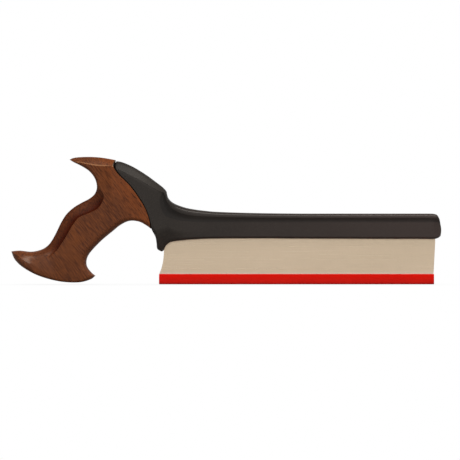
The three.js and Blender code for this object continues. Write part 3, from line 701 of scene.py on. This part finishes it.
# Saw plate. Half a millimetre of spring steel, brushed along its length, with rip teeth along its
# lower edge. The teeth are bent out to the left and right in turn, so that the kerf clears the plate.
tooth_set = 0.13 * MM
tip_height = 0.5 * MM
heel_x, toe_x = -57.2 * MM, 178.7 * MM
tooth_count = 130
tooth_pitch = (toe_x - heel_x) / tooth_count
plate_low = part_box("saw_plate")[0]
bpy.ops.object.select_all(action="DESELECT")
plate_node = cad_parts["saw_plate"]
plate = bpy.data.objects.new("toothed_plate", plate_node.data.copy())
bpy.context.collection.objects.link(plate)
plate.select_set(True)
bpy.context.view_layer.objects.active = plate
bpy.ops.object.mode_set(mode="EDIT")
bpy.ops.mesh.select_all(action="SELECT")
bpy.ops.mesh.remove_doubles(threshold=0.00001)
bpy.ops.object.mode_set(mode="OBJECT")
for vertex in plate.data.vertices:
    if vertex.co.z < plate_low.z + tip_height:
        number = int((vertex.co.x - heel_x) / tooth_pitch)
        vertex.co.y += tooth_set if number % 2 else -tooth_set
smooth_by_angle(plate, 20)

brushed_steel, nodes, links, shader = new_material("brushed_steel", (0.88, 0.70, 0.505), 0.34, 1.0)
where = nodes.new("ShaderNodeTexCoord")
brushing = {}
for name, along, across, detail in (("hairs", 12, 5200, 3), ("lines", 5, 900, 3), ("haze", 10, 45, 3)):
    marks = add_group(nodes, streaks_group, Along=along, Across=across, Detail=detail, Waver=0.0)
    links.new(where.outputs["Object"], marks.inputs["Vector"])
    brushing[name] = marks.outputs["Mark"]
lines = spread(nodes, links, brushing["lines"], 0.3, 0.7)
haze = spread(nodes, links, brushing["haze"], 0.3, 0.7)
hazed = blend_colours(nodes, links, haze, (0.87, 0.70, 0.51), (0.96, 0.775, 0.58))
lined = blend_colours(nodes, links, lines, hazed, (0.91, 0.735, 0.535))
# Painted highlight: a narrow bright line on the steel just above the guard's lips.
apart = nodes.new("ShaderNodeSeparateXYZ")
links.new(where.outputs["Object"], apart.inputs[0])
lip_share = spread(nodes, links, apart.outputs["Z"], 0.0108, 0.0098, 0.0, 0.6)
links.new(blend_colours(nodes, links, lip_share, lined, (1.0, 0.84, 0.72)), shader.inputs["Base Color"])
links.new(spread(nodes, links, brushing["hairs"], 0.2, 0.8, 0.24, 0.40), shader.inputs["Roughness"])
add_bump(nodes, links, shader, brushing["hairs"], 0.12, 0.00005)
finish_piece(plate, brushed_steel, ["saw_plate"])


# Tooth guard. A length of extruded red plastic channel with a rounded foot, whose lips grip the plate
# above the teeth. It is cut off square at both ends, and slides off over the toe.
guard_low, guard_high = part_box("tooth_guard")
guard_start, guard_end = guard_low.x / MM, guard_high.x / MM
guard_height = guard_high.z / MM
foot_half, lip_half, slot_half, floor_thickness = 2.3, 1.7, 0.42, 1.0
foot_radius, lip_radius = 1.3, 0.5


def round_corner(centre, radius, start, end, steps=6):
    """Points on an arc, its angles in degrees."""
    angles = [math.radians(mix(start, end, step / steps)) for step in range(steps + 1)]
    return [(centre[0] + radius * math.cos(a), centre[1] + radius * math.sin(a)) for a in angles]


guard_right = [(0, 0)]
guard_right += round_corner((foot_half - foot_radius, foot_radius), foot_radius, -90, 0)
guard_right += [(mix(foot_half, lip_half, i / 6), mix(foot_radius, guard_height - lip_radius, i / 6))
                for i in range(1, 6)]
guard_right += round_corner((lip_half - lip_radius, guard_height - lip_radius), lip_radius, 0, 90)
guard_right += [(slot_half + 0.25, guard_height), (slot_half, guard_height - 0.3),
                (slot_half, floor_thickness + 2), (slot_half, floor_thickness + 0.3),
                (slot_half - 0.15, floor_thickness), (0, floor_thickness)]
guard_section = guard_right + [(-y, z) for y, z in guard_right[-2:0:-1]]
guard_length = guard_end - guard_start
guard_runs = [0, 0.12, 0.35, *[4 + (guard_length - 8) * i / 40 for i in range(41)],
              guard_length - 0.35, guard_length - 0.12, guard_length]


def guard_point(column, row):
    """The section all along the channel, eased in a little at the cut ends."""
    y, z = guard_section[row % len(guard_section)]
    run = guard_runs[column]
    from_end = min(run, guard_runs[-1] - run)
    ease = 1 - 0.05 * max(0, 1 - from_end / 0.35) ** 2
    middle = guard_height / 2
    return (guard_start + run, y * ease if abs(y) > slot_half else y, middle + (z - middle) * ease)


guard = shape_lattice("slip_on_guard", len(guard_runs), len(guard_section) + 1, guard_point)
smooth_by_angle(guard, 35)

red_plastic, nodes, links, shader = new_material("red_extruded_plastic", (0.62, 0.008, 0.003), 0.3)
shader.inputs["Specular IOR Level"].default_value = 0.06
shader.inputs["Subsurface Weight"].default_value = 0.08
shader.inputs["Subsurface Radius"].default_value = (0.004, 0.001, 0.0005)
where = nodes.new("ShaderNodeTexCoord")
die_lines = add_group(nodes, streaks_group, Along=6, Across=2200, Detail=2, Waver=0.0)
links.new(where.outputs["Object"], die_lines.inputs["Vector"])
tone = add_node(nodes, "ShaderNodeTexNoise", Scale=35.0, Detail=3.0)
links.new(where.outputs["Object"], tone.inputs["Vector"])
tones = spread(nodes, links, tone.outputs["Fac"], 0.35, 0.65)
toned = blend_colours(nodes, links, tones, (0.60, 0.008, 0.004), (0.68, 0.012, 0.006))
# Painted light: the lips, on top where the light falls, are painted brighter than the foot.
apart = nodes.new("ShaderNodeSeparateXYZ")
links.new(where.outputs["Object"], apart.inputs[0])
lip_share = spread(nodes, links, apart.outputs["Z"], 0.002, 0.007)
links.new(blend_colours(nodes, links, lip_share, toned, (0.80, 0.006, 0.001)), shader.inputs["Base Color"])
glossy = add_group(nodes, surface_group, Fine=1800, Broad=70, Roughness=0.33, Variation=0.14)
links.new(glossy.outputs["Roughness"], shader.inputs["Roughness"])
add_bump(nodes, links, shader, die_lines.outputs["Mark"], 0.08, 0.0001)
finish_piece(guard, red_plastic, ["tooth_guard"], body="guard")


# Insert. A knurled brass bush with a waist, moulded into the shoulder of the back, with the thread
# that the bolt screws into.
def turned_piece(name, profile, start, sides=48, ripple=None):
    """A piece turned round the bolt's axis, from its start in millimetres inwards from the web.

    The profile is a closed loop of radius and distance. A ripple changes the radius round the piece.
    """
    sideways = Vector((math.sin(bolt_tilt), 0, math.cos(bolt_tilt)))

    def turned_point(column, row):
        radius, distance = profile[row % len(profile)]
        angle = 2 * math.pi * (column % sides) / sides
        if ripple:
            radius = ripple(radius, distance, angle)
        across = (sideways * math.cos(angle) + Vector((0, 1, 0)) * math.sin(angle)) * radius
        return web_point / MM + bolt_axis * (start + distance) + across

    return shape_lattice(name, sides + 1, len(profile) + 1, turned_point)


def knurled(radius, distance, angle):
    """Crossed grooves on the two outer bands."""
    if radius < 3.6:
        return radius
    grooves = math.sin(24 * angle + 2.2 * distance) * math.sin(24 * angle - 2.2 * distance)
    return radius - 0.12 * (1 - grooves)


insert_profile = [(2.8, 0), (3.3, 0)]
insert_profile += [(3.8, 0.3 + 4.2 * i / 16) for i in range(17)] + [(3.3, 5.0), (3.3, 7.0)]
insert_profile += [(3.8, 7.5 + 4.2 * i / 16) for i in range(17)] + [(3.3, 12), (2.8, 12)]
insert_start = 39
insert = turned_piece("knurled_insert", insert_profile, insert_start, sides=144, ripple=knurled)
smooth_by_angle(insert, 30)

brass, nodes, links, shader = new_material("turned_brass", (0.60, 0.38, 0.13), 0.32, 1.0)
where = nodes.new("ShaderNodeTexCoord")
axis_turn = add_node(nodes, "ShaderNodeMapping", Rotation=(0, -bolt_tilt, 0))
links.new(where.outputs["Object"], axis_turn.inputs["Vector"])
tool_marks = add_group(nodes, streaks_group, Along=5200, Across=60, Detail=2, Waver=0.0)
links.new(axis_turn.outputs[0], tool_marks.inputs["Vector"])
tarnish = add_node(nodes, "ShaderNodeTexNoise", Scale=400.0, Detail=4.0)
links.new(where.outputs["Object"], tarnish.inputs["Vector"])
tarnished = spread(nodes, links, tarnish.outputs["Fac"], 0.4, 0.7)
links.new(blend_colours(nodes, links, tarnished, (0.64, 0.42, 0.15), (0.44, 0.26, 0.09)),
          shader.inputs["Base Color"])
dulled = add_group(nodes, surface_group, Fine=4000, Broad=300, Roughness=0.3, Variation=0.2)
links.new(dulled.outputs["Roughness"], shader.inputs["Roughness"])
add_bump(nodes, links, shader, tool_marks.outputs["Mark"], 0.1, 0.00003)
finish_piece(insert, brass, ["bolt_insert"])


# Bolt. A steel rod threaded from end to end, screwed into the insert and passed back through the
# handle to the web.
thread_pitch = 0.8
thread_depth = 0.4
thread_run_out = 0.8
bolt_radius, bolt_start, bolt_length = 2.5, 4.5, 42.5
steps_per_turn = 6
bolt_rows = round(bolt_length / thread_pitch * steps_per_turn)


def threaded(radius, distance, angle):
    """A vee thread that runs out at both ends of the rod."""
    if radius < 1:
        return radius
    turn = (distance / thread_pitch + angle / (2 * math.pi)) % 1
    from_end = min(distance, bolt_length - distance)
    return radius - thread_depth * abs(2 * turn - 1) - 0.5 * max(0, 1 - from_end / thread_run_out)


bolt_profile = [(0, 0)] + [(bolt_radius, bolt_length * i / bolt_rows) for i in range(bolt_rows + 1)]
bolt_profile += [(0, bolt_length)]
bolt = turned_piece("threaded_rod", bolt_profile, bolt_start, sides=36, ripple=threaded)
smooth_by_angle(bolt, 50)

bolt_steel, nodes, links, shader = new_material("plated_steel", (0.50, 0.49, 0.47), 0.34, 1.0)
where = nodes.new("ShaderNodeTexCoord")
plated = add_group(nodes, surface_group, Fine=5000, Broad=500, Roughness=0.34, Variation=0.2)
links.new(plated.outputs["Roughness"], shader.inputs["Roughness"])
dulling = add_node(nodes, "ShaderNodeTexNoise", Scale=600.0, Detail=3.0)
links.new(where.outputs["Object"], dulling.inputs["Vector"])
links.new(blend_colours(nodes, links, dulling.outputs["Fac"], (0.56, 0.55, 0.53), (0.42, 0.41, 0.39)),
          shader.inputs["Base Color"])
add_bump(nodes, links, shader, plated.outputs["Height"], 0.08, 0.00003)
finish_piece(bolt, bolt_steel, ["handle_bolt"])


# Washer. A flat steel ring, stamped from sheet and plated like the bolt. It lies near the bottom of the
# counterbore and spreads the nut's load over the wood.
washer_start = 8.2
washer_profile = [(2.8, 0.1), (2.9, 0), (4.65, 0), (4.8, 0.15), (4.8, 0.85), (4.65, 1.0), (2.9, 1.0),
                  (2.8, 0.9)]
washer = turned_piece("flat_washer", washer_profile, washer_start)
smooth_by_angle(washer, 30)
finish_piece(washer, bolt_steel, ["nut_washer"])


# Nut. A round brass nut, turned from bar with a domed and slotted head. It is screwed onto the end of the
# rod inside the counterbore, and a driver tightens it from the web.
nut_start = 1.4
nut_profile = [(0, 0), (1.5, 0.02), (3.0, 0.12), (3.9, 0.3), (4.3, 0.55), (4.5, 0.9), (4.5, 3.6),
               (4.5, 6.3), (4.3, 6.5), (3.0, 6.5), (2.8, 6.3), (2.8, 2.2), (2.6, 2.0), (0, 2.0)]
nut = turned_piece("slotted_nut", nut_profile, nut_start, sides=72)
driver_slot_centre = web_point + bolt_axis * (nut_start + 0.1) * MM
driver_slot_size = (2.4, 11, 1.3)
cut_away(nut, block_cutter(driver_slot_centre, driver_slot_size, bolt_tilt))
smooth_by_angle(nut, 30)
finish_piece(nut, brass, ["barrel_nut"])


# Stage. A pale seamless floor and surround, lit softly from above the front and above the rear. The floor
# glows towards the camera, so that it stays white, with a faint shade where the saw stands.
bpy.context.scene.view_settings.view_transform = "Standard"
bpy.ops.object.select_all(action="DESELECT")
bpy.ops.mesh.primitive_plane_add(size=30, location=(0, 0, -0.0002))
floor = bpy.context.object
floor.name = "studio_floor"
floor_paint, nodes, links, shader = new_material("studio_floor", (0.3, 0.3, 0.3), 0.9)
glow = add_node(nodes, "ShaderNodeEmission", Color=(1, 1, 1, 1))
contact = add_node(nodes, "ShaderNodeAmbientOcclusion", Distance=0.07)
links.new(spread(nodes, links, contact.outputs["AO"], 0.3, 1.0, 0.9, 1.0), glow.inputs["Strength"])
light_path = nodes.new("ShaderNodeLightPath")
choose = nodes.new("ShaderNodeMixShader")
links.new(light_path.outputs["Is Camera Ray"], choose.inputs[0])
links.new(shader.outputs[0], choose.inputs[1])
links.new(glow.outputs[0], choose.inputs[2])
links.new(choose.outputs[0], nodes["Material Output"].inputs["Surface"])
floor.data.materials.append(floor_paint)

world = bpy.data.worlds.new("studio")
bpy.context.scene.world = world
world.use_nodes = True
nodes, links = world.node_tree.nodes, world.node_tree.links
background = nodes["Background"]
where = nodes.new("ShaderNodeTexCoord")
apart = nodes.new("ShaderNodeSeparateXYZ")
links.new(where.outputs["Generated"], apart.inputs[0])
front_side = spread(nodes, links, apart.outputs["Y"], -0.45, -0.9, 0.08, 0.85)
rear_side = spread(nodes, links, apart.outputs["Y"], 0.45, 0.8, 0.0, 0.27)
toe_side = spread(nodes, links, apart.outputs["X"], 0.2, 1.0, 0.0, 0.15)
both_sides = add_node(nodes, "ShaderNodeMath", operation="ADD")
links.new(front_side, both_sides.inputs[0])
links.new(rear_side, both_sides.inputs[1])
total = add_node(nodes, "ShaderNodeMath", operation="ADD")
links.new(both_sides.outputs[0], total.inputs[0])
links.new(toe_side, total.inputs[1])
light_path = nodes.new("ShaderNodeLightPath")
seen = add_node(nodes, "ShaderNodeMix", data_type="FLOAT")
links.new(light_path.outputs["Is Camera Ray"], seen.inputs[0])
links.new(total.outputs[0], seen.inputs[2])
seen.inputs[3].default_value = 1.0
links.new(seen.outputs[0], background.inputs["Strength"])
background.inputs["Color"].default_value = (1, 1, 1, 1)


def add_softbox(name, place, target, width, height, power, glossy=True):
    """A rectangular lamp of warm white."""
    bpy.ops.object.select_all(action="DESELECT")
    bpy.ops.object.light_add(type="AREA", location=place)
    lamp = bpy.context.object
    lamp.name = name
    lamp.data.shape = "RECTANGLE"
    lamp.data.size, lamp.data.size_y = width, height
    lamp.data.energy = power
    lamp.data.color = (1, 0.94, 0.87)
    lamp.visible_glossy = glossy
    lamp.rotation_euler = (Vector(target) - Vector(place)).to_track_quat("-Z", "Y").to_euler()


add_softbox("overhead_softbox", (0.15, -0.6, 1.1), (0, 0, 0.05), 1.2, 0.4, 12)
add_softbox("rear_softbox", (0.0, 0.9, 1.1), (0, 0, 0.05), 1.0, 0.4, 14, glossy=False)

camera_data = bpy.data.cameras.new("camera")
camera = bpy.data.objects.new("camera", camera_data)
bpy.context.collection.objects.link(camera)
view_distance = 2.5
view_width = 0.3974
camera_data.lens = camera_data.sensor_width * view_distance / view_width
camera.location = (0.0032, -view_distance, 0.0469)
camera.rotation_euler = (math.pi / 2, 0, 0)
camera_data.clip_end = 60
bpy.context.scene.camera = camera
